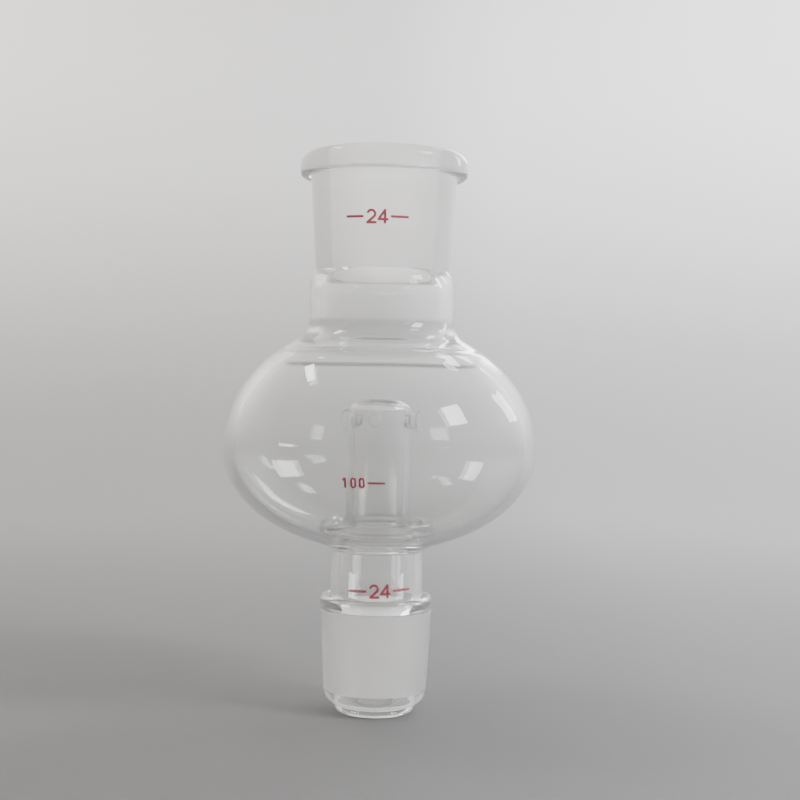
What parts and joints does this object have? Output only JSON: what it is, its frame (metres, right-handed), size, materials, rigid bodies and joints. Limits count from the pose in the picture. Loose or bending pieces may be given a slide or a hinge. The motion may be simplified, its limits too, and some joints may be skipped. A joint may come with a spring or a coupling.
{
  "type": "rotary evaporator splash trap",
  "caption": "Clear glass splash trap: ground socket, onion-shaped bulb round a domed inner vapour tube with side holes, and a ground cone with a drip tip.",
  "frame": {"origin": "on the trap's axis, at the lower end of the drip tip", "axes": "+Z along the axis, from the drip tip up to the socket's mouth; the printed marks face -Y"},
  "size_m": [0.0672, 0.0672, 0.1189],
  "materials": {
    "clear_glass": "clear, fire-polished borosilicate",
    "ground_glass": "finely ground, white and translucent",
    "printed_ink": "fired enamel print, satin"
  },
  "bodies": {
    "root": {"socket_rim": "ground_glass", "socket_joint": "ground_glass", "upper_neck": "clear_glass", "bulb": "clear_glass", "ring_seal": "clear_glass", "vapour_tube": "clear_glass", "tube_head": "clear_glass", "vent_lips": "clear_glass", "lower_neck": "clear_glass", "cone_collar": "clear_glass", "cone_joint": "ground_glass", "drip_tip": "clear_glass", "socket_mark": "printed_ink", "volume_mark": "printed_ink", "cone_mark": "printed_ink"}
  },
  "joints": []
}
